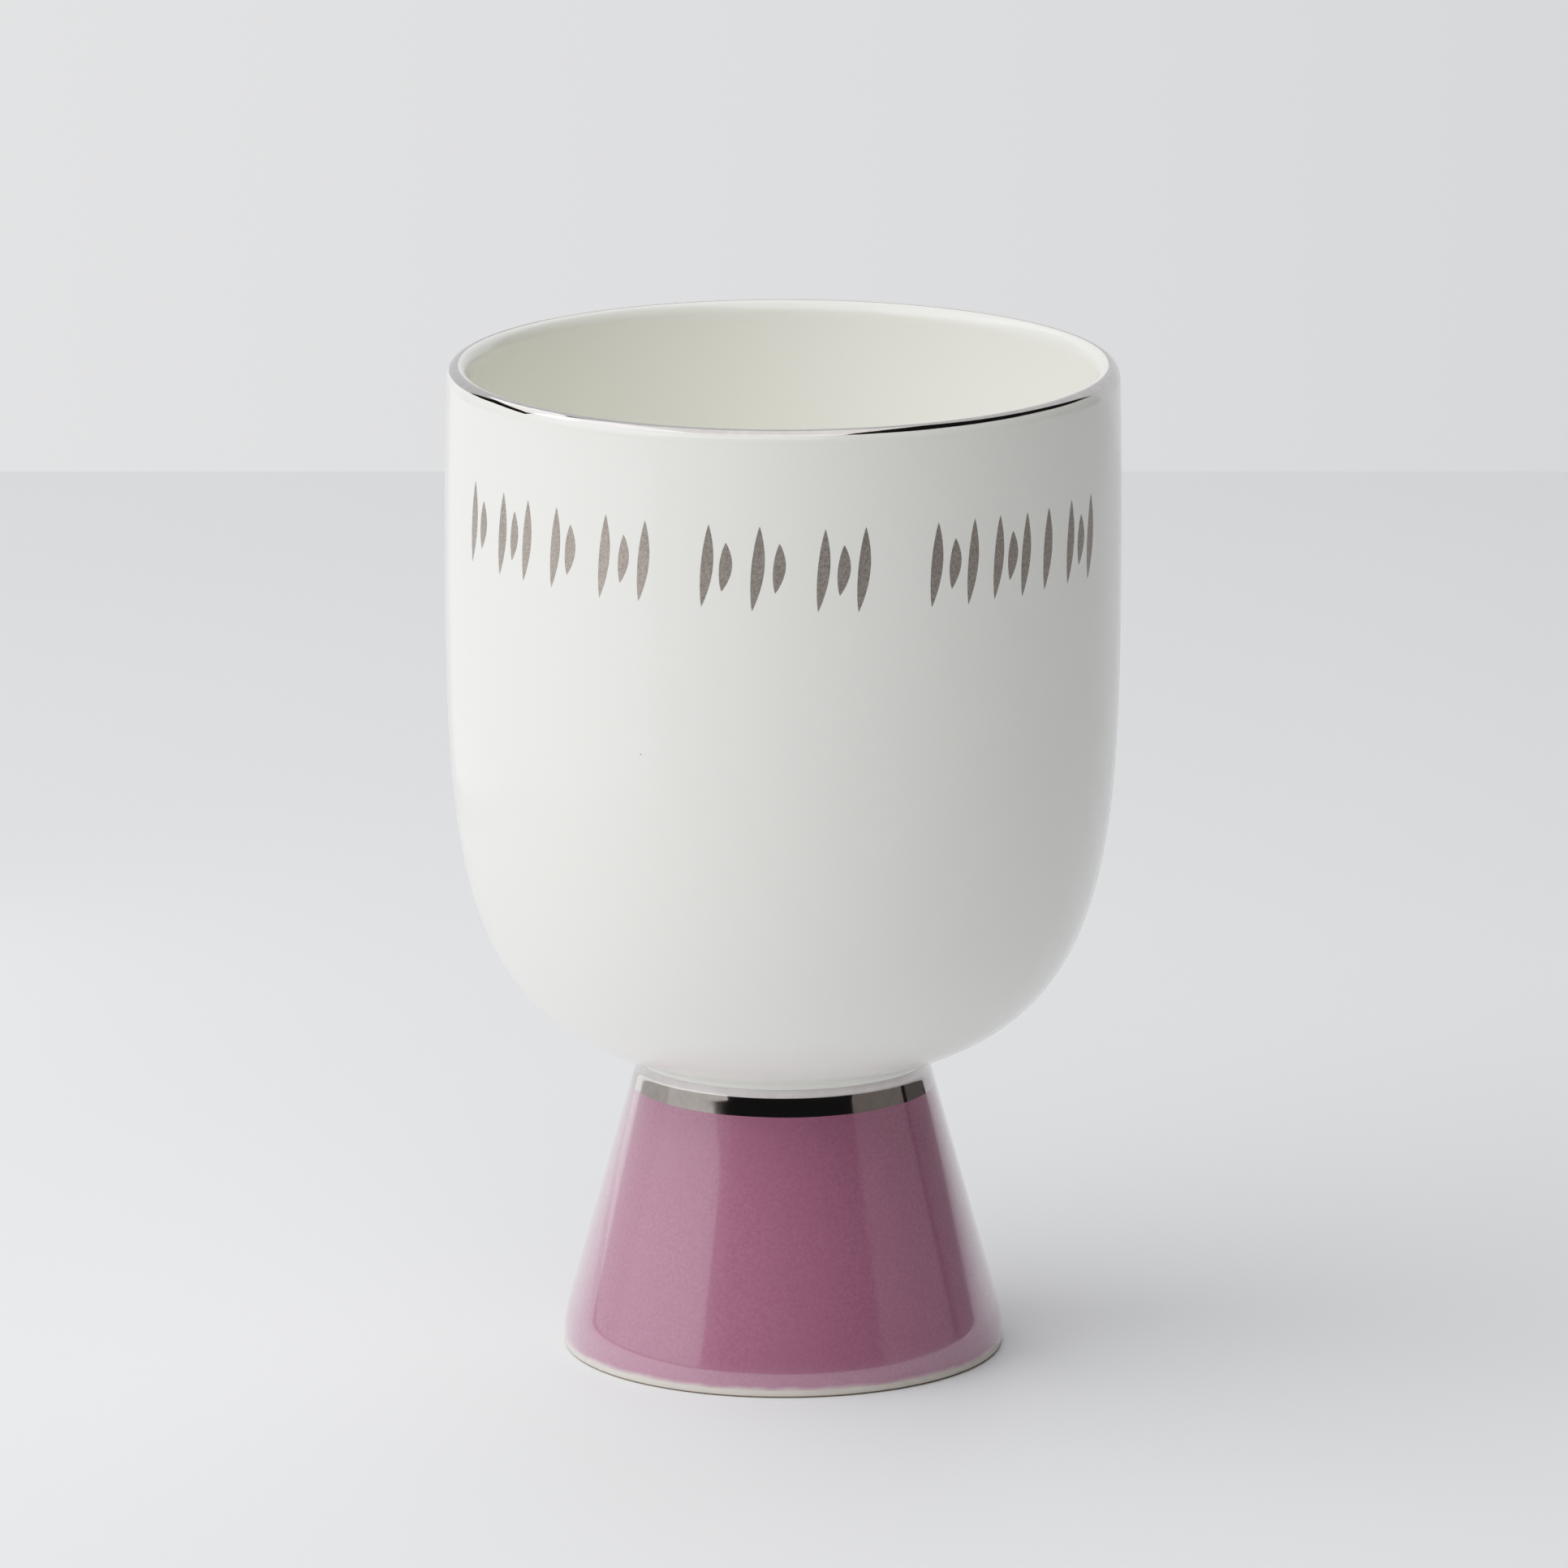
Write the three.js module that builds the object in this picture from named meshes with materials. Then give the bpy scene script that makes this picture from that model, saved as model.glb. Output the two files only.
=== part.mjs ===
import * as THREE from 'three';

// A kiddush cup: one slip-cast and glazed piece of china, a deep round-bottomed bowl on a hollow
// cone-shaped foot. Millimetres, +Z up. The origin is the middle of the circle the cup stands on.

// Driving dimensions
const CUP_HEIGHT = 126.7;
const BOWL_RADIUS = 42.5;
const BOWL_WALL = 2.8;
const BOWL_FLOOR = 3.2;
const FOOT_HEIGHT = 36.1;
const NECK_RADIUS = 18.35;
const FOOT_RADIUS = 27.85;

// The bowl: where its side is widest, and how far its round bottom reaches out and up
const WIDEST_Z = 106;
const BOTTOM_REACH = 42.4;
const SIDE_REACH = 47.4;
const INNER_BOTTOM_REACH = 39.4;
const INNER_SIDE_REACH = 46.0;

// The lip: its half-round edge stands this high, on a wall that has leant in by this much
const LIP_HEIGHT = 1.9;
const LIP_LEAN = 0.25;

// The foot's outside: a straight cone that turns upright at the toe, and a small cove under the bowl
const NECK_Z = 37.3;
const CONE_SLOPE = 0.278;
const COVE_RADIUS = 20.2;
const TOE_TOP_Z = 5.2;
const TOE_EDGE_Z = 1.0;
const EDGE_ROUNDING = 0.5;

// The foot's hollow, open below, and the flat ring round it that the cup stands on
const RING_INNER_RADIUS = 24.9;
const HOLLOW_TOP_RADIUS = 16.2;
const HOLLOW_TOP_Z = 33.6;
const CEILING_RADIUS = 12.6;

// Fineness of the turned form
const TURN_STEPS = 80;
const SIDE_STEPS = 14;
const LIP_STEPS = 8;
const CORNER_STEPS = 3;
const CEILING_STEPS = 3;

const point = (radius, z) => new THREE.Vector2(radius, z);

// Points along part of a curve, from one share of it to another, without the first one.
function along(curve, steps, from = 0, to = 1) {
  const points = [];
  for (let step = 1; step <= steps; step += 1) {
    points.push(curve.getPoint(from + ((to - from) * step) / steps));
  }
  return points;
}

// The share of a curve after which a test of its points turns true.
function shareWhere(curve, test) {
  let before = 0;
  let after = 1;
  while (after - before > 1e-9) {
    const middle = (before + after) / 2;
    if (test(curve.getPoint(middle))) after = middle;
    else before = middle;
  }
  return after;
}

// The radius of the foot's straight cone at a height.
function coneRadius(z) {
  return NECK_RADIUS + CONE_SLOPE * (NECK_Z - z);
}

// One sweep from the middle of the bowl's bottom out and up to where its side is widest.
function bowlCurve(bottomZ, radius, bottomReach, sideReach) {
  return new THREE.CubicBezierCurve(
    point(0, bottomZ),
    point(bottomReach, bottomZ),
    point(radius, WIDEST_Z - sideReach),
    point(radius, WIDEST_Z),
  );
}

// The foot's hollow, from the middle of its ceiling down to the ring.
function hollowOutline(outerBowl) {
  const ceilingEnd = shareWhere(outerBowl, (p) => p.x > CEILING_RADIUS);
  const meeting = shareWhere(outerBowl, (p) => p.x > HOLLOW_TOP_RADIUS);
  const ceilingCorner = new THREE.QuadraticBezierCurve(
    outerBowl.getPoint(ceilingEnd),
    outerBowl.getPoint(meeting),
    point(HOLLOW_TOP_RADIUS, HOLLOW_TOP_Z),
  );
  return [
    outerBowl.getPoint(0),
    ...along(outerBowl, CEILING_STEPS, 0, ceilingEnd),
    ...along(ceilingCorner, CORNER_STEPS),
    point(RING_INNER_RADIUS, EDGE_ROUNDING),
    point(RING_INNER_RADIUS + EDGE_ROUNDING, 0),
  ];
}

// The outside of the foot, from the ring up the toe and the cone to the neck.
function footOutline() {
  const coneFootZ = NECK_Z - (FOOT_RADIUS - NECK_RADIUS) / CONE_SLOPE;
  const edge = new THREE.QuadraticBezierCurve(
    point(FOOT_RADIUS - EDGE_ROUNDING, 0),
    point(FOOT_RADIUS, 0),
    point(FOOT_RADIUS, TOE_EDGE_Z),
  );
  const toe = new THREE.QuadraticBezierCurve(
    point(FOOT_RADIUS, TOE_EDGE_Z),
    point(FOOT_RADIUS, coneFootZ),
    point(coneRadius(TOE_TOP_Z), TOE_TOP_Z),
  );
  return [
    edge.getPoint(0),
    ...along(edge, CORNER_STEPS),
    ...along(toe, CORNER_STEPS),
    point(NECK_RADIUS, NECK_Z),
  ];
}

// The cove between neck and bowl, then the bowl's outside up to the lip.
function bowlOutline(outerBowl) {
  const meeting = shareWhere(outerBowl, (p) => p.x > coneRadius(p.y));
  const coveEnd = shareWhere(outerBowl, (p) => p.x > COVE_RADIUS);
  const cove = new THREE.QuadraticBezierCurve(
    point(NECK_RADIUS, NECK_Z),
    outerBowl.getPoint(meeting),
    outerBowl.getPoint(coveEnd),
  );
  const lean = new THREE.QuadraticBezierCurve(
    point(BOWL_RADIUS, WIDEST_Z),
    point(BOWL_RADIUS, (WIDEST_Z + CUP_HEIGHT - LIP_HEIGHT) / 2),
    point(BOWL_RADIUS - LIP_LEAN, CUP_HEIGHT - LIP_HEIGHT),
  );
  return [
    ...along(cove, CORNER_STEPS),
    ...along(outerBowl, SIDE_STEPS, coveEnd, 1),
    ...along(lean, CORNER_STEPS),
  ];
}

// The half-round lip, from the outer wall over to the inner one.
function lipOutline() {
  const lip = new THREE.EllipseCurve(
    BOWL_RADIUS - LIP_LEAN - BOWL_WALL / 2,
    CUP_HEIGHT - LIP_HEIGHT,
    BOWL_WALL / 2,
    LIP_HEIGHT,
    0,
    Math.PI,
  );
  return along(lip, LIP_STEPS);
}

// The inside of the bowl, from the lip down to the middle of its floor.
function insideOutline() {
  const innerBowl = bowlCurve(
    FOOT_HEIGHT + BOWL_FLOOR,
    BOWL_RADIUS - BOWL_WALL,
    INNER_BOTTOM_REACH,
    INNER_SIDE_REACH,
  );
  return [innerBowl.getPoint(1), ...along(innerBowl, SIDE_STEPS, 1, 0)];
}

function makeCup() {
  const outerBowl = bowlCurve(FOOT_HEIGHT, BOWL_RADIUS, BOTTOM_REACH, SIDE_REACH);
  const outline = [
    ...hollowOutline(outerBowl),
    ...footOutline(),
    ...bowlOutline(outerBowl),
    ...lipOutline(),
    ...insideOutline(),
  ];
  const geometry = new THREE.LatheGeometry(outline, TURN_STEPS);
  geometry.rotateX(Math.PI / 2);
  const glazedChina = new THREE.MeshStandardMaterial({
    name: 'glazed_china',
    color: '#e9e9e2',
    roughness: 0.12,
    metalness: 0,
  });
  const cup = new THREE.Mesh(geometry, glazedChina);
  cup.name = 'cup';
  return cup;
}

const kiddushCup = new THREE.Group();
kiddushCup.add(makeCup());

export default kiddushCup;
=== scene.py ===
"""A kiddush cup in glazed china: a white bowl on a hollow mauve foot, lined in platinum.

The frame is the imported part's own: metres, +Z up, the origin in the middle of the circle that the
cup stands on, and -Y the side that the camera sees. Lengths of the cup are written in millimetres.
"""

import bisect
import math
import random

import bpy
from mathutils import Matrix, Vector


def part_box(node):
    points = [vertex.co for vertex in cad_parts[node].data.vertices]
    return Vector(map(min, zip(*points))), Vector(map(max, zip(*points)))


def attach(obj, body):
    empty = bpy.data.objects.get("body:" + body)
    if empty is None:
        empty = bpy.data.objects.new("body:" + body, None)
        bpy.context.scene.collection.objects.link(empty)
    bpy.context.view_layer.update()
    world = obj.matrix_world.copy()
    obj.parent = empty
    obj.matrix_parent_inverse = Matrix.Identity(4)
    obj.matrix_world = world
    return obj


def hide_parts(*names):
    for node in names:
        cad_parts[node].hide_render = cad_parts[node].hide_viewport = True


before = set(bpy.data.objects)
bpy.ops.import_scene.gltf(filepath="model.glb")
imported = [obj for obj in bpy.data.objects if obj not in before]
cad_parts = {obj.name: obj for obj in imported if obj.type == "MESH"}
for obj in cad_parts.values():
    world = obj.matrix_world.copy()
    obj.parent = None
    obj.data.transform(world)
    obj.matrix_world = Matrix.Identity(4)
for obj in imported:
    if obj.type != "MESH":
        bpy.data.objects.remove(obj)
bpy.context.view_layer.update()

MM = 0.001

# Driving dimensions, in millimetres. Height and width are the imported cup's.
_, cup_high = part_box("cup")
CUP_HEIGHT = cup_high.z / MM
BOWL_RADIUS = cup_high.x / MM
BOWL_WALL = 2.8
BOWL_FLOOR = 3.2
FOOT_HEIGHT = 36.1
NECK_RADIUS = 18.35
FOOT_RADIUS = 27.85

# The bowl: where its side is widest, and how far its round bottom reaches out and up
WIDEST_Z = 106
BOTTOM_REACH = 42.4
SIDE_REACH = 47.4
INNER_BOTTOM_REACH = 39.4
INNER_SIDE_REACH = 46.0

# The lip: its half-round edge stands this high, on a wall that has leant in by this much
LIP_HEIGHT = 1.9
LIP_LEAN = 0.25

# The foot's outside: a straight cone that turns upright at the toe, and a small cove under the bowl.
# The cove starts 1.3 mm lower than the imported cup's, as it does in the photograph.
NECK_Z = 37.3
CONE_SLOPE = 0.278
COVE_LOW_Z = 36.0
COVE_RADIUS = 20.6
TOE_TOP_Z = 5.2
TOE_EDGE_Z = 1.0
EDGE_ROUNDING = 0.5

# The foot's hollow, open below, and the flat ring round it that the cup stands on
RING_INNER_RADIUS = 24.9
HOLLOW_TOP_RADIUS = 16.2
HOLLOW_TOP_Z = 33.6
CEILING_RADIUS = 12.6

# Fineness of the turned form, the turn at which its shading breaks, and how closely a point on a
# curve is found, as a share of the curve
TURN_STEPS = 256
SIDE_STEPS = 56
CONE_STEPS = 20
LEAN_STEPS = 10
LIP_STEPS = 24
CORNER_STEPS = 8
CREASE_ANGLE = math.radians(40)
SHARE_TOLERANCE = 1e-9

# Films of colour: how far they stand out of the china, and how deep they reach into it
COAT_PROUD = 0.015
BAND_PROUD = 0.03
STROKE_PROUD = 0.015
FILM_SUNK = 0.05

# The platinum line on the lip, the platinum band on the neck and the mauve below it: where each
# lies, how unsteady its edges are, and its rows of faces
LIP_LINE_LOW_Z = 126.1
LIP_LINE_OVER_TOP = 0.1
LIP_LINE_WAVER = 0.03
LIP_LINE_ROWS = 16
NECK_BAND_LOW_Z = 34.12
NECK_BAND_HIGH_Z = 37.55
NECK_BAND_WAVER = 0.015
NECK_BAND_ROWS = 12
COAT_LOW_Z = 0.4
COAT_HIGH_Z = 34.6
COAT_ROWS = 48
MAUVE_EDGE_Z = 1.0

# The lip line's brush: where it started, how far it went on past its start, how much lower it ran
# there, and how steeply it came down to that
BRUSH_START_ANGLE = math.radians(-48)
BRUSH_OVERLAP_ANGLE = math.radians(11)
BRUSH_OVERLAP_DROP = 0.28
BRUSH_OVERLAP_STEEPNESS = 12

# How many waves a steady hand still makes in a line on one turn of the cup
HAND_WAVES = (2, 3, 5, 8, 13, 21, 34)

# The rows of strokes: how high they stand, and how much the printed line drops from left to right
STROKES_LOW_Z = 104.3
STROKES_HIGH_Z = 114.7
LINE_DROP = 1.7
LINE_HALF_WIDTH = 49.0


def bezier(*controls):
    """A curve with these control points, as a function from a share of its way to a point."""

    def at(share):
        points = controls
        while len(points) > 1:
            points = [
                (a[0] + (b[0] - a[0]) * share, a[1] + (b[1] - a[1]) * share)
                for a, b in zip(points, points[1:])
            ]
        return points[0]

    return at


def along(curve, steps, start=0.0, stop=1.0):
    """Points along part of a curve, from one share of it to another, without the first one."""
    return [curve(start + (stop - start) * step / steps) for step in range(1, steps + 1)]


def share_where(curve, test):
    """The share of a curve after which a test of its points turns true."""
    before = 0.0
    after = 1.0
    while after - before > SHARE_TOLERANCE:
        middle = (before + after) / 2
        if test(curve(middle)):
            after = middle
        else:
            before = middle
    return after


def cone_radius(z):
    """The radius of the foot's straight cone at a height."""
    return NECK_RADIUS + CONE_SLOPE * (NECK_Z - z)


def bowl_curve(bottom_z, radius, bottom_reach, side_reach):
    """One sweep from the middle of the bowl's bottom out and up to where its side is widest."""
    return bezier(
        (0, bottom_z), (bottom_reach, bottom_z), (radius, WIDEST_Z - side_reach), (radius, WIDEST_Z)
    )


outer_bowl = bowl_curve(FOOT_HEIGHT, BOWL_RADIUS, BOTTOM_REACH, SIDE_REACH)
inner_bowl = bowl_curve(
    FOOT_HEIGHT + BOWL_FLOOR, BOWL_RADIUS - BOWL_WALL, INNER_BOTTOM_REACH, INNER_SIDE_REACH
)


def hollow_outline():
    """The foot's hollow, from the middle of its ceiling down to the ring."""
    ceiling_end = share_where(outer_bowl, lambda p: p[0] > CEILING_RADIUS)
    meeting = share_where(outer_bowl, lambda p: p[0] > HOLLOW_TOP_RADIUS)
    corner = bezier(
        outer_bowl(ceiling_end), outer_bowl(meeting), (HOLLOW_TOP_RADIUS, HOLLOW_TOP_Z)
    )
    wall = bezier((HOLLOW_TOP_RADIUS, HOLLOW_TOP_Z), (RING_INNER_RADIUS, EDGE_ROUNDING))
    return [
        outer_bowl(0),
        *along(outer_bowl, CORNER_STEPS, 0, ceiling_end),
        *along(corner, CORNER_STEPS),
        *along(wall, CONE_STEPS),
    ]


def ring_outline():
    """The rounded inner edge of the ring that the cup stands on, and its flat face."""
    edge = bezier(
        (RING_INNER_RADIUS, EDGE_ROUNDING),
        (RING_INNER_RADIUS, 0),
        (RING_INNER_RADIUS + EDGE_ROUNDING, 0),
    )
    return [*along(edge, CORNER_STEPS), (FOOT_RADIUS - EDGE_ROUNDING, 0)]


def foot_outline():
    """The outside of the foot, from the ring up the toe and the cone to the neck."""
    cone_foot_z = NECK_Z - (FOOT_RADIUS - NECK_RADIUS) / CONE_SLOPE
    edge = bezier(
        (FOOT_RADIUS - EDGE_ROUNDING, 0), (FOOT_RADIUS, 0), (FOOT_RADIUS, TOE_EDGE_Z)
    )
    toe = bezier(
        (FOOT_RADIUS, TOE_EDGE_Z), (FOOT_RADIUS, cone_foot_z), (cone_radius(TOE_TOP_Z), TOE_TOP_Z)
    )
    cone = bezier((cone_radius(TOE_TOP_Z), TOE_TOP_Z), (cone_radius(COVE_LOW_Z), COVE_LOW_Z))
    return [*along(edge, CORNER_STEPS), *along(toe, CORNER_STEPS), *along(cone, CONE_STEPS)]


def bowl_outline():
    """The cove between neck and bowl, then the bowl's outside up to the lip."""
    meeting = share_where(outer_bowl, lambda p: p[0] > cone_radius(p[1]))
    cove_end = share_where(outer_bowl, lambda p: p[0] > COVE_RADIUS)
    cove = bezier(
        (cone_radius(COVE_LOW_Z), COVE_LOW_Z), outer_bowl(meeting), outer_bowl(cove_end)
    )
    lean = bezier(
        (BOWL_RADIUS, WIDEST_Z),
        (BOWL_RADIUS, (WIDEST_Z + CUP_HEIGHT - LIP_HEIGHT) / 2),
        (BOWL_RADIUS - LIP_LEAN, CUP_HEIGHT - LIP_HEIGHT),
    )
    return [
        *along(cove, CORNER_STEPS),
        *along(outer_bowl, SIDE_STEPS, cove_end, 1),
        *along(lean, LEAN_STEPS),
    ]


def lip_outline():
    """The half-round lip, from the outer wall over to the inner one."""
    middle = BOWL_RADIUS - LIP_LEAN - BOWL_WALL / 2

    def lip(share):
        turn = math.pi * share
        radius = middle + BOWL_WALL / 2 * math.cos(turn)
        return (radius, CUP_HEIGHT - LIP_HEIGHT + LIP_HEIGHT * math.sin(turn))

    return along(lip, LIP_STEPS)


def inside_outline():
    """The inside of the bowl, from the lip down to the middle of its floor."""
    return [inner_bowl(1), *along(inner_bowl, SIDE_STEPS, 1, 0)]


class Profile:
    """The line that the outside of the cup is turned from, measured along its length."""

    def __init__(self, points):
        self.points = points
        self.lengths = [0.0]
        for before, after in zip(points, points[1:]):
            self.lengths.append(self.lengths[-1] + math.dist(before, after))

    def at(self, length):
        """The radius and height at a length, and the direction that faces out of the china."""
        index = bisect.bisect_right(self.lengths, length) - 1
        index = min(max(index, 0), len(self.points) - 2)
        before = self.points[index]
        after = self.points[index + 1]
        step = self.lengths[index + 1] - self.lengths[index]
        share = (length - self.lengths[index]) / step
        radius = before[0] + (after[0] - before[0]) * share
        height = before[1] + (after[1] - before[1]) * share
        out = ((after[1] - before[1]) / step, (before[0] - after[0]) / step)
        return radius, height, out

    def length_at(self, z):
        """The length at which the outside first reaches a height."""
        index = next(i for i, point in enumerate(self.points) if point[1] >= z)
        before = self.points[index - 1]
        after = self.points[index]
        share = (z - before[1]) / (after[1] - before[1])
        return self.lengths[index - 1] + share * (self.lengths[index] - self.lengths[index - 1])


outside = Profile([*foot_outline(), *bowl_outline(), *lip_outline()])


def spot(radius, angle, z):
    """A point of the cup in metres. The angle is 0 in front and grows towards the right."""
    return (radius * math.sin(angle) * MM, -radius * math.cos(angle) * MM, z * MM)


def add_mesh(name, vertices, faces, materials):
    """A smooth-shaded mesh object whose edges stay crisp where its faces turn sharply."""
    mesh = bpy.data.meshes.new(name)
    mesh.from_pydata(vertices, [], faces)
    mesh.shade_smooth()
    mesh.set_sharp_from_angle(angle=CREASE_ANGLE)
    for material in materials:
        mesh.materials.append(material)
    piece = bpy.data.objects.new(name, mesh)
    bpy.context.scene.collection.objects.link(piece)
    return piece


def turned(name, outline, materials):
    """A closed body of revolution whose outline starts and ends on the axis."""
    rings = outline[1:-1]
    vertices = [
        spot(radius, 2 * math.pi * step / TURN_STEPS, z)
        for radius, z in rings
        for step in range(TURN_STEPS)
    ]
    faces = []
    for ring in range(len(rings) - 1):
        for step in range(TURN_STEPS):
            beside = (step + 1) % TURN_STEPS
            low = ring * TURN_STEPS
            high = low + TURN_STEPS
            faces.append((low + step, low + beside, high + beside, high + step))
    first = len(vertices)
    last = first + 1
    vertices.append(spot(0, 0, outline[0][1]))
    vertices.append(spot(0, 0, outline[-1][1]))
    top_ring = (len(rings) - 1) * TURN_STEPS
    for step in range(TURN_STEPS):
        beside = (step + 1) % TURN_STEPS
        faces.append((first, beside, step))
        faces.append((last, top_ring + step, top_ring + beside))
    return add_mesh(name, vertices, faces, materials)


def film(place, rows, columns, wraps, proud):
    """Vertices and faces of a thin closed skin on the outside of the cup.

    place(around, up) gives an angle and a length up the outside for two shares from 0 to 1. A film
    that wraps goes all round the cup, and has no ends.
    """
    across = columns if wraps else columns + 1
    skin_size = (rows + 1) * across
    outer = []
    inner = []
    for row in range(rows + 1):
        for column in range(across):
            around = column / columns
            up = row / rows
            angle, length = place(around, up)
            radius, z, out = outside.at(length)
            outer.append(spot(radius + out[0] * proud, angle, z + out[1] * proud))
            inner.append(spot(radius - out[0] * FILM_SUNK, angle, z - out[1] * FILM_SUNK))

    def corner(row, column, side):
        return side * skin_size + row * across + column % across

    faces = []
    for column in range(columns):
        beside = column + 1
        for row in range(rows):
            quad = [(row, column), (row, beside), (row + 1, beside), (row + 1, column)]
            faces.append([corner(r, c, 0) for r, c in quad])
            faces.append([corner(r, c, 1) for r, c in reversed(quad)])
        low = [(0, column, 1), (0, beside, 1), (0, beside, 0), (0, column, 0)]
        high = [(rows, column, 0), (rows, beside, 0), (rows, beside, 1), (rows, column, 1)]
        faces.append([corner(*c) for c in low])
        faces.append([corner(*c) for c in high])
    if not wraps:
        for row in range(rows):
            left = [(row, 0, 1), (row, 0, 0), (row + 1, 0, 0), (row + 1, 0, 1)]
            right = [(row, columns, 0), (row, columns, 1)]
            right += [(row + 1, columns, 1), (row + 1, columns, 0)]
            faces.append([corner(*c) for c in left])
            faces.append([corner(*c) for c in right])
    return outer + inner, faces


# Sockets that have only a number: a colour Mix node's share, its two colours and what they make, a
# Math node's two values, and a Mix Shader's share and two shaders
MIX_SHARE = 0
MIX_FIRST = 6
MIX_SECOND = 7
MIX_RESULT = 2
MATH_FIRST = 0
MATH_SECOND = 1
SHADER_SHARE = 0
SHADER_FIRST = 1
SHADER_SECOND = 2

# The values of a noise between which a pattern goes from one of its tones to the other
NOISE_LOW = 0.35
NOISE_HIGH = 0.65


def add(tree, kind, inputs=None, **settings):
    """Adds a node with its settings. Each input is linked to a socket, or set to a value."""
    node = tree.nodes.new(kind)
    for name, value in settings.items():
        setattr(node, name, value)
    for name, value in (inputs or {}).items():
        if isinstance(value, bpy.types.NodeSocket):
            tree.links.new(value, node.inputs[name])
        else:
            node.inputs[name].default_value = value
    return node


def linear(hex_colour):
    """The linear colour of an sRGB hex value."""
    values = [int(hex_colour[i : i + 2], 16) / 255 for i in (1, 3, 5)]
    return [v / 12.92 if v <= 0.04045 else ((v + 0.055) / 1.055) ** 2.4 for v in values] + [1.0]


def scale_for(size):
    """The texture scale that makes a pattern's features this many millimetres wide."""
    return 1 / (size * MM)


def new_material(name):
    """An empty material, its node tree and its shader."""
    material = bpy.data.materials.new(name)
    material.use_nodes = True
    tree = material.node_tree
    tree.nodes.clear()
    shader = tree.nodes.new("ShaderNodeBsdfPrincipled")
    add(tree, "ShaderNodeOutputMaterial", {"Surface": shader.outputs["BSDF"]})
    return material, tree, shader


# Any glaze, in millimetres: the size and depth of its broad waves and of its orange peel
GLAZE_WAVE = 14
GLAZE_WAVE_DEPTH = 0.01
GLAZE_PEEL = 3
GLAZE_PEEL_DEPTH = 0.0006


def glaze_ripple(tree, place):
    """The skin of a glaze that flowed and set: shallow broad waves with a fine orange peel."""
    waves = add(
        tree,
        "ShaderNodeTexNoise",
        {"Vector": place, "Scale": scale_for(GLAZE_WAVE), "Detail": 1.0},
    )
    peel = add(
        tree,
        "ShaderNodeTexNoise",
        {"Vector": place, "Scale": scale_for(GLAZE_PEEL), "Detail": 1.0},
    )
    broad = add(
        tree,
        "ShaderNodeBump",
        {"Height": waves.outputs["Fac"], "Distance": GLAZE_WAVE_DEPTH * MM},
    )
    return add(
        tree,
        "ShaderNodeBump",
        {
            "Height": peel.outputs["Fac"],
            "Distance": GLAZE_PEEL_DEPTH * MM,
            "Normal": broad.outputs["Normal"],
        },
    ).outputs["Normal"]


# White china, in millimetres: the size of its clouds of tone and of the patches of its gloss, the
# heights at which pooled glaze starts and is all there, how much it then tints the white, and how
# far apart its specks lie and how big they are
CHINA_CLOUD = 24
GLOSS_PATCH = 9
POOL_TOP_Z = FOOT_HEIGHT + BOWL_FLOOR + 4
POOL_FULL_Z = FOOT_HEIGHT + BOWL_FLOOR - 1
POOL_SHARE = 0.5
SPECK_SPACING = 11
SPECK_RADIUS = 0.1


def clear_glaze_on_china():
    """China dipped in clear gloss glaze and fired: soft white, wet-looking, thicker in its hollows.

    The eye sees a white that is a little yellow where light bounces inside the bowl, with soft wide
    highlights, and a faint green where the glaze pooled in the cove and in the bottom of the bowl.
    """
    material, tree, shader = new_material("clear_glaze_on_china")
    place = add(tree, "ShaderNodeTexCoord").outputs["Object"]
    cloud = add(
        tree,
        "ShaderNodeTexNoise",
        {"Vector": place, "Scale": scale_for(CHINA_CLOUD), "Detail": 3.0},
    )
    body = add(
        tree,
        "ShaderNodeMix",
        {
            MIX_SHARE: cloud.outputs["Fac"],
            MIX_FIRST: linear("#fafaf3"),
            MIX_SECOND: linear("#f8f8f0"),
        },
        data_type="RGBA",
    )
    height = add(tree, "ShaderNodeSeparateXYZ", {"Vector": place}).outputs["Z"]
    pooled = add(
        tree,
        "ShaderNodeMapRange",
        {
            "Value": height,
            "From Min": POOL_TOP_Z * MM,
            "From Max": POOL_FULL_Z * MM,
            "To Max": POOL_SHARE,
        },
    )
    pooled_colour = add(
        tree,
        "ShaderNodeMix",
        {
            MIX_SHARE: pooled.outputs["Result"],
            MIX_FIRST: body.outputs[MIX_RESULT],
            MIX_SECOND: linear("#f0f2e7"),
        },
        data_type="RGBA",
    )
    specks = add(
        tree, "ShaderNodeTexVoronoi", {"Vector": place, "Scale": scale_for(SPECK_SPACING)}
    )
    speck = add(
        tree,
        "ShaderNodeMath",
        {MATH_FIRST: specks.outputs["Distance"], MATH_SECOND: SPECK_RADIUS / SPECK_SPACING},
        operation="LESS_THAN",
    )
    coloured = add(
        tree,
        "ShaderNodeMix",
        {
            MIX_SHARE: speck.outputs["Value"],
            MIX_FIRST: pooled_colour.outputs[MIX_RESULT],
            MIX_SECOND: linear("#8d877a"),
        },
        data_type="RGBA",
    )
    gloss = add(
        tree,
        "ShaderNodeTexNoise",
        {"Vector": place, "Scale": scale_for(GLOSS_PATCH), "Detail": 4.0},
    )
    roughness = add(
        tree,
        "ShaderNodeMapRange",
        {"Value": gloss.outputs["Fac"], "To Min": 0.09, "To Max": 0.15},
    )
    tree.links.new(coloured.outputs[MIX_RESULT], shader.inputs["Base Color"])
    tree.links.new(roughness.outputs["Result"], shader.inputs["Roughness"])
    tree.links.new(glaze_ripple(tree, place), shader.inputs["Normal"])
    shader.inputs["IOR"].default_value = 1.5
    return material


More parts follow.
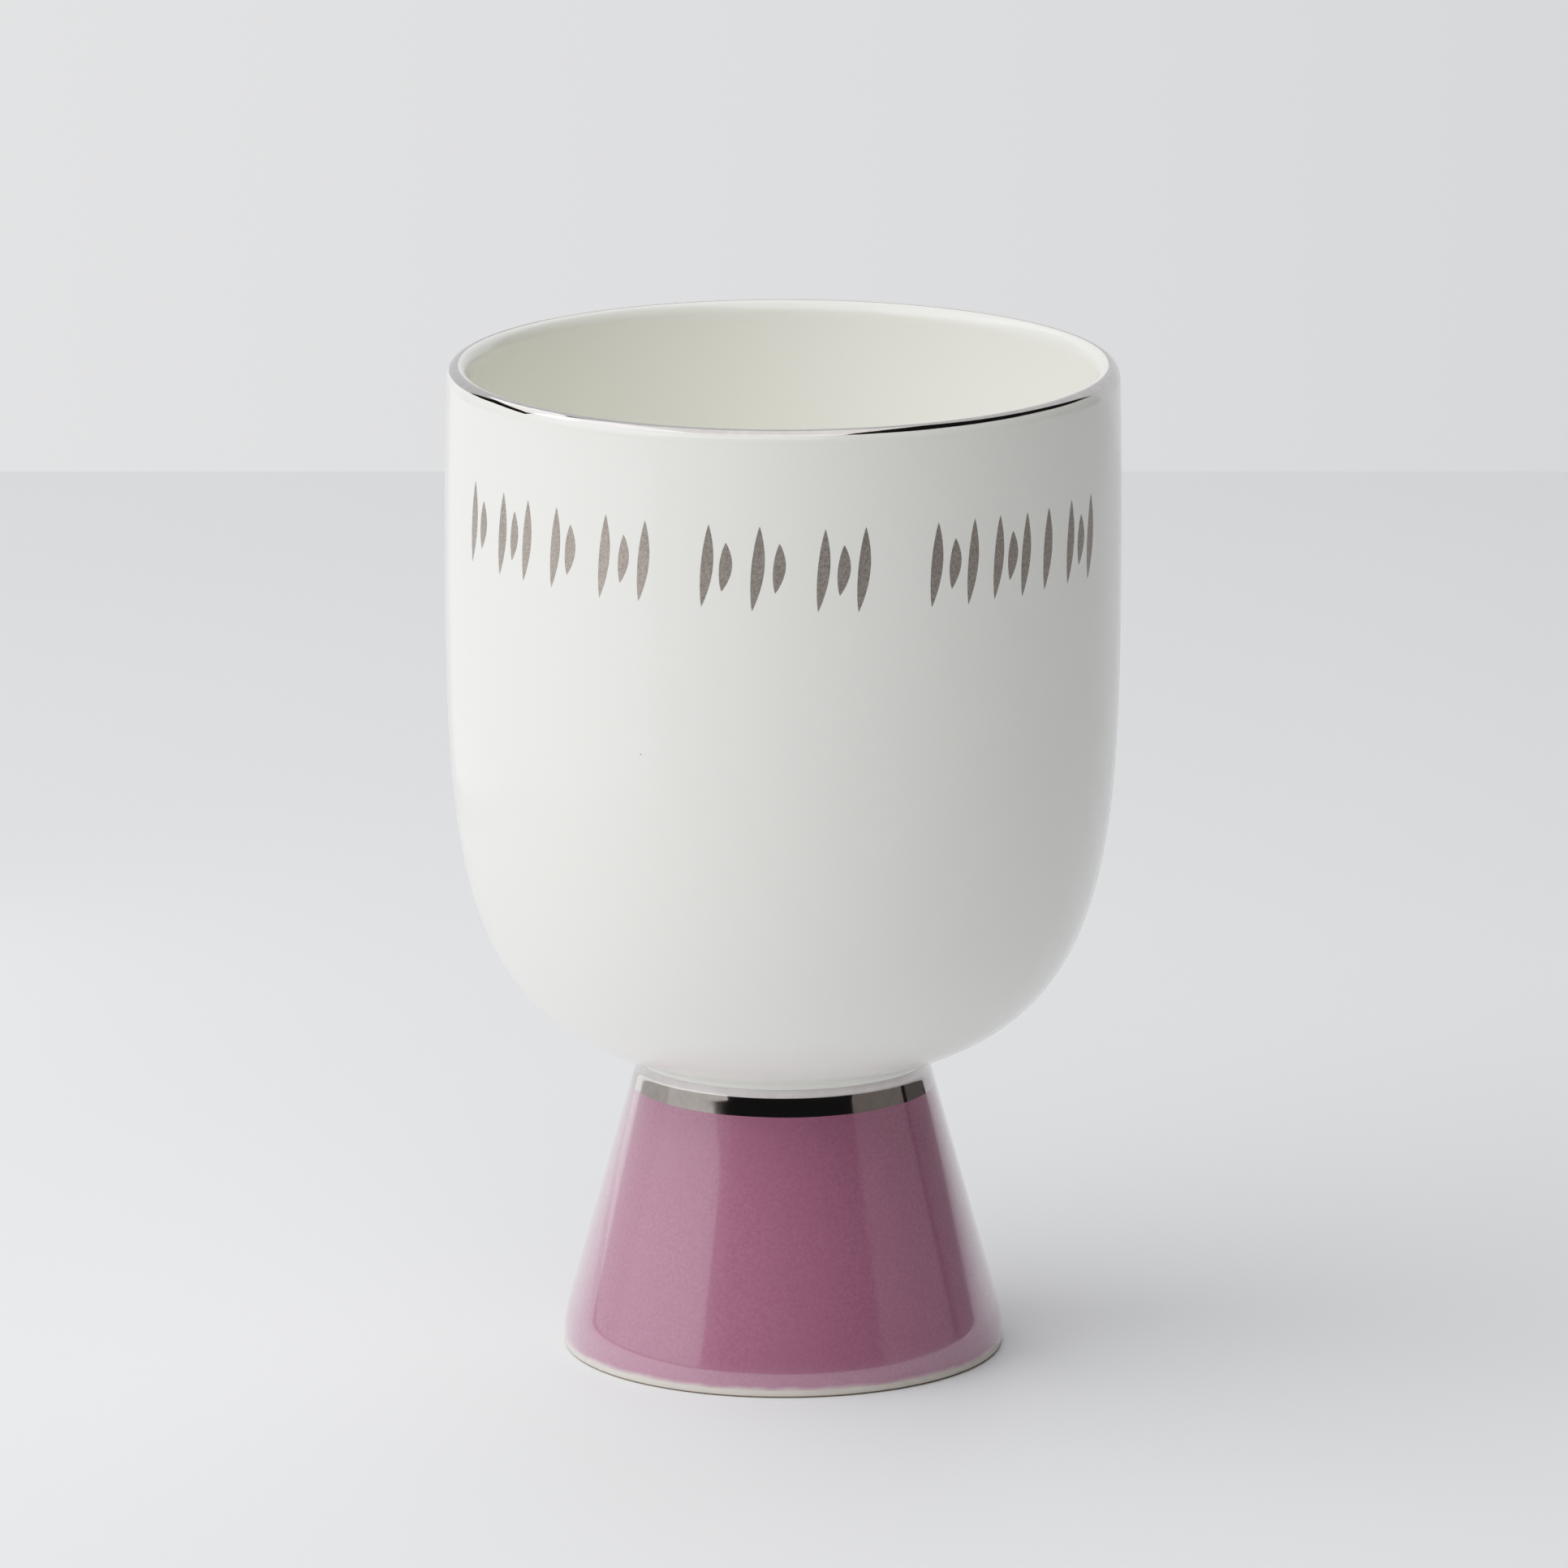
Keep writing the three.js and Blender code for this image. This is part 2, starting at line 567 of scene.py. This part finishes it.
# Bare china, in millimetres: the size and depth of its grain, the size of the patches of its tone,
# and the height up to which the ring's lowest edge is painted brown as the contact shadow under it
BISCUIT_GRAIN = 0.35
BISCUIT_GRAIN_DEPTH = 0.03
BISCUIT_PATCH = 6
PAINTED_CONTACT_SHADOW_Z = 0.28


def bare_biscuit():
    """Fired china wiped free of glaze before the kiln: chalky, dry and cream-coloured.

    The eye sees a pale matte strip under the mauve, with a thin brown line of painted contact
    shadow along its lowest edge, where the cup meets the table.
    """
    material, tree, shader = new_material("bare_biscuit")
    place = add(tree, "ShaderNodeTexCoord").outputs["Object"]
    grain = add(
        tree,
        "ShaderNodeTexNoise",
        {"Vector": place, "Scale": scale_for(BISCUIT_GRAIN), "Detail": 3.0},
    )
    wear = add(
        tree,
        "ShaderNodeTexNoise",
        {"Vector": place, "Scale": scale_for(BISCUIT_PATCH), "Detail": 4.0},
    )
    tone = add(
        tree,
        "ShaderNodeMix",
        {
            MIX_SHARE: wear.outputs["Fac"],
            MIX_FIRST: linear("#e6e0d7"),
            MIX_SECOND: linear("#d9d2c7"),
        },
        data_type="RGBA",
    )
    height = add(tree, "ShaderNodeSeparateXYZ", {"Vector": place}).outputs["Z"]
    # Painted shadow: below this height the ring is coloured brown as the contact shadow where it
    # meets the table
    painted_shadow = add(
        tree,
        "ShaderNodeMapRange",
        {"Value": height, "From Min": PAINTED_CONTACT_SHADOW_Z * MM, "From Max": PAINTED_CONTACT_SHADOW_Z / 2 * MM},
    )
    shadowed_tone = add(
        tree,
        "ShaderNodeMix",
        {
            MIX_SHARE: painted_shadow.outputs["Result"],
            MIX_FIRST: tone.outputs[MIX_RESULT],
            MIX_SECOND: linear("#8f7c69"),
        },
        data_type="RGBA",
    )
    bump = add(
        tree,
        "ShaderNodeBump",
        {"Height": grain.outputs["Fac"], "Distance": BISCUIT_GRAIN_DEPTH * MM},
    )
    tree.links.new(shadowed_tone.outputs[MIX_RESULT], shader.inputs["Base Color"])
    tree.links.new(bump.outputs["Normal"], shader.inputs["Normal"])
    shader.inputs["Roughness"].default_value = 0.7
    shader.inputs["IOR"].default_value = 1.5
    return material


# Mauve glaze, in millimetres: the size of its droplets and clouds, the size and reach of the waves
# in its wiped edge, and how far the colour fades out below and above that edge. Droplets are nearer
# 0.1 mm; they are drawn coarser so that they show.
MAUVE_DROPLET = 0.4
MAUVE_CLOUD = 8
WIPED_WAVE = 4
WIPED_REACH = 0.4
FADE_BELOW = 0.35
FADE_ABOVE = 0.65


def mauve_colour_glaze():
    """Gloss glaze stained mauve and sprayed on: even, faintly mottled by its droplets.

    The eye sees a dusty pink-purple with a fine grain in it, which pales and thins out to nothing
    along the wiped edge above the ring.
    """
    material, tree, shader = new_material("mauve_colour_glaze")
    place = add(tree, "ShaderNodeTexCoord").outputs["Object"]
    droplets = add(
        tree,
        "ShaderNodeTexNoise",
        {"Vector": place, "Scale": scale_for(MAUVE_DROPLET), "Detail": 2.0},
    )
    cloud = add(
        tree,
        "ShaderNodeTexNoise",
        {"Vector": place, "Scale": scale_for(MAUVE_CLOUD), "Detail": 3.0},
    )
    mottle = add(
        tree,
        "ShaderNodeMapRange",
        {"Value": droplets.outputs["Fac"], "From Min": NOISE_LOW, "From Max": NOISE_HIGH},
    )
    grained = add(
        tree,
        "ShaderNodeMix",
        {
            MIX_SHARE: mottle.outputs["Result"],
            MIX_FIRST: linear("#a66a85"),
            MIX_SECOND: linear("#b47994"),
        },
        data_type="RGBA",
    )
    clouded = add(
        tree,
        "ShaderNodeMix",
        {
            MIX_SHARE: cloud.outputs["Fac"],
            MIX_FIRST: grained.outputs[MIX_RESULT],
            MIX_SECOND: linear("#ad728d"),
        },
        data_type="RGBA",
    )
    height = add(tree, "ShaderNodeSeparateXYZ", {"Vector": place}).outputs["Z"]
    wiped = add(
        tree,
        "ShaderNodeTexNoise",
        {"Vector": place, "Scale": scale_for(WIPED_WAVE), "Detail": 5.0},
    )
    edge_shift = add(
        tree,
        "ShaderNodeMapRange",
        {
            "Value": wiped.outputs["Fac"],
            "To Min": -WIPED_REACH * MM,
            "To Max": WIPED_REACH * MM,
        },
    )
    edge_height = add(
        tree,
        "ShaderNodeMath",
        {MATH_FIRST: height, MATH_SECOND: edge_shift.outputs["Result"]},
        operation="ADD",
    )
    cover = add(
        tree,
        "ShaderNodeMapRange",
        {
            "Value": edge_height.outputs["Value"],
            "From Min": (MAUVE_EDGE_Z - FADE_BELOW) * MM,
            "From Max": (MAUVE_EDGE_Z + FADE_ABOVE) * MM,
        },
        interpolation_type="SMOOTHSTEP",
    )
    coloured = add(
        tree,
        "ShaderNodeMix",
        {
            MIX_SHARE: cover.outputs["Result"],
            MIX_FIRST: linear("#e0d8d0"),
            MIX_SECOND: clouded.outputs[MIX_RESULT],
        },
        data_type="RGBA",
    )
    tree.links.new(coloured.outputs[MIX_RESULT], shader.inputs["Base Color"])
    tree.links.new(glaze_ripple(tree, place), shader.inputs["Normal"])
    shader.inputs["Roughness"].default_value = 0.25
    shader.inputs["IOR"].default_value = 1.85
    shader.inputs["Coat Weight"].default_value = 1.0
    shader.inputs["Coat Roughness"].default_value = 0.05
    shader.inputs["Coat IOR"].default_value = 1.7
    return material


def platinum_lustre(name, light, dark, roughness, grain_size):
    """Liquid platinum painted on the glaze and fired: a mirror one thousandth of a millimetre thick.

    The eye sees a warm grey mirror, black where the room is dark. A thinner print of the metal is
    duller, with a fine grain. Its roughness goes from the first value where the grain is light to
    the second where it is dark.
    """
    material, tree, shader = new_material(name)
    place = add(tree, "ShaderNodeTexCoord").outputs["Object"]
    grain = add(
        tree,
        "ShaderNodeTexNoise",
        {"Vector": place, "Scale": scale_for(grain_size), "Detail": 3.0},
    )
    spread = add(
        tree,
        "ShaderNodeMapRange",
        {"Value": grain.outputs["Fac"], "From Min": NOISE_LOW, "From Max": NOISE_HIGH},
    )
    tone = add(
        tree,
        "ShaderNodeMix",
        {
            MIX_SHARE: spread.outputs["Result"],
            MIX_FIRST: linear(light),
            MIX_SECOND: linear(dark),
        },
        data_type="RGBA",
    )
    rough = add(
        tree,
        "ShaderNodeMapRange",
        {
            "Value": spread.outputs["Result"],
            "To Min": roughness[0],
            "To Max": roughness[1],
        },
    )
    tree.links.new(tone.outputs[MIX_RESULT], shader.inputs["Base Color"])
    tree.links.new(rough.outputs["Result"], shader.inputs["Roughness"])
    tree.links.new(glaze_ripple(tree, place), shader.inputs["Normal"])
    shader.inputs["Metallic"].default_value = 1.0
    return material


def china_body(glaze, biscuit):
    """The fired china: bowl, hollow foot and lip in one, glazed all over but for its ring."""
    hollow = hollow_outline()
    ring = ring_outline()
    foot = foot_outline()
    outline = [*hollow, *ring, *foot, *bowl_outline(), *lip_outline(), *inside_outline()]
    body = turned("china_body", outline, [glaze, biscuit])
    # The faces come strip by strip, from the hollow's ceiling to the bowl's floor. The bare strips
    # are those from the last point of the hollow over the ring and round the foot's lower edge.
    strips = len(outline) - 3
    first_bare = len(hollow) - 2
    bare_strips = range(first_bare, first_bare + len(ring) + CORNER_STEPS)
    for face in body.data.polygons[: strips * TURN_STEPS]:
        if face.index // TURN_STEPS in bare_strips:
            face.material_index = 1
    return body


def hand_wave(angle, size, seed):
    """A line's small unevenness round the cup, as a steady hand leaves it, in millimetres."""
    draw = random.Random(seed)
    total = 0.0
    for waves in HAND_WAVES:
        total += math.sin(waves * angle + draw.uniform(0, 2 * math.pi)) / math.sqrt(waves)
    return size * total


def brush_overlap(angle):
    """How far the lip line runs lower where the brush came round to its own start again."""
    behind = (BRUSH_START_ANGLE - angle) / BRUSH_OVERLAP_ANGLE
    if not 0 <= behind <= 1:
        return 0.0
    return BRUSH_OVERLAP_DROP * min(1.0, behind * BRUSH_OVERLAP_STEEPNESS) * (1 - behind)


def band(name, low_edge, high_edge, rows, proud, material):
    """A film that goes round the cup between two edges, each a length up the outside."""

    def place(around, up):
        angle = 2 * math.pi * around - math.pi
        low = low_edge(angle)
        return angle, low + (high_edge(angle) - low) * up

    vertices, faces = film(place, rows, TURN_STEPS, wraps=True, proud=proud)
    return add_mesh(name, vertices, faces, [material])


def lip_line(material):
    """The platinum line that a brush drew over the outer half of the lip."""
    low = outside.length_at(LIP_LINE_LOW_Z)
    top = max(range(len(outside.points)), key=lambda i: outside.points[i][1])
    high = outside.lengths[top] + LIP_LINE_OVER_TOP
    return band(
        "platinum_lip_line",
        lambda angle: low + hand_wave(angle, LIP_LINE_WAVER, seed=1) - brush_overlap(angle),
        lambda angle: high + hand_wave(angle, LIP_LINE_WAVER, seed=2),
        LIP_LINE_ROWS,
        BAND_PROUD,
        material,
    )


def neck_band(material):
    """The broad platinum band round the neck, over the top edge of the mauve."""
    low = outside.length_at(NECK_BAND_LOW_Z)
    high = outside.length_at(NECK_BAND_HIGH_Z)
    return band(
        "platinum_neck_band",
        lambda angle: low + hand_wave(angle, NECK_BAND_WAVER, seed=3),
        lambda angle: high + hand_wave(angle, NECK_BAND_WAVER, seed=4),
        NECK_BAND_ROWS,
        BAND_PROUD,
        material,
    )


def mauve_coat(material):
    """The mauve glaze on the outside of the foot, from the ring to under the platinum band."""
    low = outside.length_at(COAT_LOW_Z)
    high = outside.length_at(COAT_HIGH_Z)
    return band(
        "mauve_glaze_coat", lambda _: low, lambda _: high, COAT_ROWS, COAT_PROUD, material
    )


# Each cluster of strokes: where it starts and ends along the wall from the front, in millimetres,
# and how many strokes it holds
STROKE_GROUPS = {
    "left": ((-49.3, -44.3, 2), (-42.2, -34.8, 3), (-32.2, -27.4, 2), (-24.8, -16.6, 3)),
    "middle": ((-10.9, -6.2, 2), (-4.7, 0.6, 2), (3.5, 11.1, 3)),
    "right": ((18.1, 25.9, 3), (27.4, 34.3, 3), (36.0, 38.4, 1), (40.8, 48.4, 3)),
}

# A stroke is a leaf shape, this wide in the middle and at its tips, and the slimmer between them the
# more it tapers. Every second one is short, and starts and ends at these shares of the row's height.
# All lean and bow alike, so that none meets its neighbour. The brush's shake moves their ends by up
# to this much, and makes them narrower or wider by a factor in this range.
STROKE_WIDTH = 1.6
STROKE_TIP = 0.04
STROKE_TAPER = 0.8
SHORT_FROM = 0.2
SHORT_TO = 0.8
STROKE_LEAN = 0.09
STROKE_BOW = 0.25
STROKE_SHAKE = 0.15
STROKE_WIDTH_SHAKE = (0.94, 1.06)
STROKE_SEED = 5
STROKE_ROWS = 28
STROKE_COLUMNS = 6


def stroke(middle, low, high, width):
    """One leaf-shaped dab of the brush: pointed at both ends, leaning and bowed a little."""
    bottom = outside.length_at(low)
    top = outside.length_at(high)
    row_middle = (STROKES_LOW_Z + STROKES_HIGH_Z) / 2

    def place(around, up):
        z = low + (high - low) * up
        across = max(width * math.sin(math.pi * up) ** STROKE_TAPER, STROKE_TIP)
        spine = middle + STROKE_LEAN * (z - row_middle) + STROKE_BOW * math.sin(math.pi * up)
        x = spine + (around - 0.5) * across
        return x / BOWL_RADIUS, bottom + (top - bottom) * up

    return film(place, STROKE_ROWS, STROKE_COLUMNS, wraps=False, proud=STROKE_PROUD)


def stroke_group(name, clusters, material, draw):
    """The strokes of one group, in one piece, in a steady rhythm of tall and short ones."""
    vertices = []
    faces = []
    tall = STROKES_HIGH_Z - STROKES_LOW_Z
    for start, end, count in clusters:
        for number in range(count):
            middle = start + (end - start) * (number + 0.5) / count
            bottom, top = ((0, 1), (SHORT_FROM, SHORT_TO))[number % 2]
            base = STROKES_LOW_Z - LINE_DROP / 2 * middle / LINE_HALF_WIDTH
            low = base + tall * bottom + draw.uniform(-STROKE_SHAKE, STROKE_SHAKE)
            high = base + tall * top + draw.uniform(-STROKE_SHAKE, STROKE_SHAKE)
            width = STROKE_WIDTH * draw.uniform(*STROKE_WIDTH_SHAKE)
            part, part_faces = stroke(middle, low, high, width)
            first = len(vertices)
            vertices += part
            faces += [[first + corner for corner in face] for face in part_faces]
    return add_mesh("strokes_" + name, vertices, faces, [material])


# The camera: how far it stands from the middle of the foot and how high it rises as seen from there,
# how far it is tilted down, how little it stands to the right, in metres, and the lens that the
# photograph's perspective asks for
CAMERA_REACH = 1.8
CAMERA_RISE = math.radians(15.45)
CAMERA_TILT = math.radians(13.20)
CAMERA_ASIDE = 0.0001
CAMERA_LENS = 324.5
SENSOR_WIDTH = 36.0


def add_camera():
    """The photograph's viewpoint."""
    data = bpy.data.cameras.new("camera")
    data.lens = CAMERA_LENS
    data.sensor_width = SENSOR_WIDTH
    camera = bpy.data.objects.new("camera", data)
    camera.location = (
        CAMERA_ASIDE,
        -CAMERA_REACH * math.cos(CAMERA_RISE),
        CAMERA_REACH * math.sin(CAMERA_RISE),
    )
    camera.rotation_euler = (math.pi / 2 - CAMERA_TILT, 0, 0)
    bpy.context.scene.collection.objects.link(camera)
    bpy.context.scene.camera = camera


# The table, in metres: it ends behind the cup. Its clouds of tone are in millimetres.
FLOOR_BACK = 0.534
FLOOR_SIDE = 2.5
FLOOR_FRONT = 2.5
FLOOR_CLOUD = 120

# The lights, in metres: a softbox overhead that has a seam from front to back and a step from left
# to right, a lit wall behind, cards close to the foot, and tall boards further off
SOFTBOX_HEIGHT = 1.2
SOFTBOX_LEFT = -1.55
SOFTBOX_SEAM = -0.48
SOFTBOX_RIGHT = 0.34
SOFTBOX_FRONT = -1.56
SOFTBOX_STEP = -0.5
SOFTBOX_BACK = 0.5
WALL_BACK = 1.1
WALL_LEFT = -0.99
WALL_RIGHT = 1.14
WALL_LOW = -0.7
WALL_HIGH = 2.5
CARD_DISTANCE = 0.24
BOARD_DISTANCE = 0.9


def pale_matte_floor():
    """Painted board with a silk finish: nearly white, with no pattern of its own.

    The eye sees an even pale plane that mirrors nothing clearly and shades softly round the foot.
    """
    material, tree, shader = new_material("pale_matte_floor")
    place = add(tree, "ShaderNodeTexCoord").outputs["Object"]
    cloud = add(
        tree,
        "ShaderNodeTexNoise",
        {"Vector": place, "Scale": scale_for(FLOOR_CLOUD), "Detail": 2.0},
    )
    tone = add(
        tree,
        "ShaderNodeMix",
        {
            MIX_SHARE: cloud.outputs["Fac"],
            MIX_FIRST: linear("#f2f4f6"),
            MIX_SECOND: linear("#eef0f3"),
        },
        data_type="RGBA",
    )
    tree.links.new(tone.outputs[MIX_RESULT], shader.inputs["Base Color"])
    shader.inputs["Roughness"].default_value = 0.55
    return material


def add_floor():
    """The table top, which counts as stage."""
    corners = [
        (-FLOOR_SIDE, -FLOOR_FRONT, 0),
        (FLOOR_SIDE, -FLOOR_FRONT, 0),
        (FLOOR_SIDE, FLOOR_BACK, 0),
        (-FLOOR_SIDE, FLOOR_BACK, 0),
    ]
    mesh = bpy.data.meshes.new("floor")
    mesh.from_pydata(corners, [], [(0, 1, 2, 3)])
    mesh.materials.append(pale_matte_floor())
    floor = bpy.data.objects.new("floor", mesh)
    bpy.context.scene.collection.objects.link(floor)


def light_panel(name, place, aim, width, height, brightness, colour):
    """A rectangle, just as bright at any size, that the camera sees only mirrored in the cup."""
    data = bpy.data.lights.new(name, "AREA")
    data.shape = "RECTANGLE"
    data.size = width
    data.size_y = height
    data.energy = brightness * math.pi * width * height
    data.color = linear(colour)[:3]
    light = bpy.data.objects.new(name, data)
    light.location = place
    light.rotation_euler = (Vector(aim) - Vector(place)).to_track_quat("-Z", "Y").to_euler()
    light.visible_camera = False
    bpy.context.scene.collection.objects.link(light)


def standing_panel(name, azimuths, heights, distance, brightness, colour):
    """A panel that stands upright on a side of the cup, between two azimuths and two heights.

    Azimuth 0 is towards the camera and 90 to the right, in degrees.
    """
    turn = math.radians(sum(azimuths) / 2)
    half_angle = math.radians((azimuths[1] - azimuths[0]) / 2)
    height = sum(heights) / 2
    light_panel(
        name,
        (distance * math.sin(turn), -distance * math.cos(turn), height),
        (0, 0, height),
        2 * distance * math.tan(half_angle),
        heights[1] - heights[0],
        brightness,
        colour,
    )


def add_studio():
    """A softbox overhead, brightest at the left, a wall behind, and panels on both sides.

    The left has bright cards and boards. The right has dim boards, so that the cup shades that way.
    """
    for name, left, right, front, back, brightness in (
        ("softbox_left", SOFTBOX_LEFT, SOFTBOX_SEAM, SOFTBOX_FRONT, SOFTBOX_BACK, 3.5),
        ("softbox_front", SOFTBOX_SEAM, SOFTBOX_RIGHT, SOFTBOX_FRONT, SOFTBOX_STEP, 3.05),
        ("softbox_back", SOFTBOX_SEAM, SOFTBOX_RIGHT, SOFTBOX_STEP, SOFTBOX_BACK, 2.0),
    ):
        middle_x = (left + right) / 2
        middle_y = (front + back) / 2
        light_panel(
            name,
            (middle_x, middle_y, SOFTBOX_HEIGHT),
            (middle_x, middle_y, 0),
            right - left,
            back - front,
            brightness,
            colour="#fefeff",
        )
    wall_x = (WALL_LEFT + WALL_RIGHT) / 2
    wall_z = (WALL_LOW + WALL_HIGH) / 2
    light_panel(
        "back_wall",
        (wall_x, WALL_BACK, wall_z),
        (wall_x, 0, wall_z),
        WALL_RIGHT - WALL_LEFT,
        WALL_HIGH - WALL_LOW,
        brightness=1.2,
        colour="#f4f6fa",
    )
    for name, azimuths, heights, distance, brightness, colour in (
        ("left_card_front", (-95, -42), (0.008, 0.09), CARD_DISTANCE, 1.06, "#f6f4f2"),
        ("left_card_back", (-150, -95), (0.008, 0.09), CARD_DISTANCE, 0.85, "#f6f4f2"),
        ("left_wall_front", (-95, -42), (0.38, 0.95), BOARD_DISTANCE, 3.2, "#f6f4f2"),
        ("left_wall_back", (-150, -95), (0.7, 1.2), BOARD_DISTANCE, 3.2, "#f6f4f2"),
        ("right_board", (54, 102), (0.0, 0.5), BOARD_DISTANCE, 0.28, "#f8f0ea"),
        ("right_back_board", (106, 131), (0.0, 0.5), BOARD_DISTANCE, 0.155, "#f8f2ee"),
    ):
        standing_panel(name, azimuths, heights, distance, brightness, colour)


# The room's faint glow, and that of the pale backdrop behind the table. The backdrop goes from its
# left tone to its right one while the view's direction points this far to the left, then the right.
ROOM_GLOW = 0.024
BACKDROP_GLOW = 1.7
BACKDROP_FALLOFF = 0.055


def add_world():
    """A dark room, and a pale backdrop that only the camera sees."""
    world = bpy.data.worlds.new("studio")
    world.use_nodes = True
    tree = world.node_tree
    tree.nodes.clear()
    room = add(tree, "ShaderNodeBackground", {"Color": linear("#ffffff"), "Strength": ROOM_GLOW})
    heading = add(tree, "ShaderNodeTexCoord").outputs["Generated"]
    aside = add(tree, "ShaderNodeSeparateXYZ", {"Vector": heading}).outputs["X"]
    falloff = add(
        tree,
        "ShaderNodeMapRange",
        {"Value": aside, "From Min": -BACKDROP_FALLOFF, "From Max": BACKDROP_FALLOFF},
    )
    # Painted light: the backdrop is lighter at the left and darker at the right, as the studio light
    # falls from the left
    tone = add(
        tree,
        "ShaderNodeMix",
        {
            MIX_SHARE: falloff.outputs["Result"],
            MIX_FIRST: linear("#e3e4e6"),
            MIX_SECOND: linear("#d2d3d5"),
        },
        data_type="RGBA",
    )
    backdrop = add(
        tree,
        "ShaderNodeBackground",
        {"Color": tone.outputs[MIX_RESULT], "Strength": BACKDROP_GLOW},
    )
    seen = add(tree, "ShaderNodeLightPath").outputs["Is Camera Ray"]
    mixed = add(
        tree,
        "ShaderNodeMixShader",
        {
            SHADER_SHARE: seen,
            SHADER_FIRST: room.outputs["Background"],
            SHADER_SECOND: backdrop.outputs["Background"],
        },
    )
    add(tree, "ShaderNodeOutputWorld", {"Surface": mixed.outputs["Shader"]})
    bpy.context.scene.world = world


# The camera's tone curve: how steep its toe is, at how much light its shoulder lies, how far its end
# would rise above white, the most light that it takes in, and how many points draw it
TONE_TOE = 1.2
TONE_SHOULDER = 1.0
TONE_GAIN = 1.02
TONE_REACH = 4.0
TONE_POINTS = 24
ALL_CHANNELS = 3

# Enough bounces for the light between the white walls inside the bowl
WHITE_BOUNCES = 6


def set_tone_curve():
    """The photograph's response: deeper darks, and highlights that roll off before they clip."""
    view = bpy.context.scene.view_settings
    view.view_transform = "Standard"
    view.use_curve_mapping = True
    mapping = view.curve_mapping
    # The curve runs from 0 to 1, so the white level brings the light into that range. Its points lie
    # closer together in the darks.
    mapping.white_level = (TONE_REACH, TONE_REACH, TONE_REACH)
    curve = mapping.curves[ALL_CHANNELS]
    for number in range(1, TONE_POINTS):
        share = (number / TONE_POINTS) ** 2
        light = TONE_REACH * share / TONE_SHOULDER
        tone = TONE_GAIN * (1 - math.exp(-(light**TONE_TOE)))
        curve.points.new(share, min(1.0, tone))
    mapping.update()


add_camera()
add_world()
add_floor()
add_studio()
set_tone_curve()
bpy.context.scene.cycles.diffuse_bounces = WHITE_BOUNCES

glaze = clear_glaze_on_china()
biscuit = bare_biscuit()
mauve = mauve_colour_glaze()
brushed_platinum = platinum_lustre(
    "brushed_platinum_lustre", "#c6c0bd", "#beb8b5", roughness=(0.05, 0.09), grain_size=1.5
)
printed_platinum = platinum_lustre(
    "printed_platinum_lustre", "#a39b94", "#8c847d", roughness=(0.28, 0.36), grain_size=0.3
)

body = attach(china_body(glaze, biscuit), "root")
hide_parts("cup")
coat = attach(mauve_coat(mauve), "root")
for line in (lip_line(brushed_platinum), neck_band(brushed_platinum)):
    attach(line, "root")
draw = random.Random(STROKE_SEED)
for group, clusters in STROKE_GROUPS.items():
    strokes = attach(stroke_group(group, clusters, printed_platinum, draw), "root")
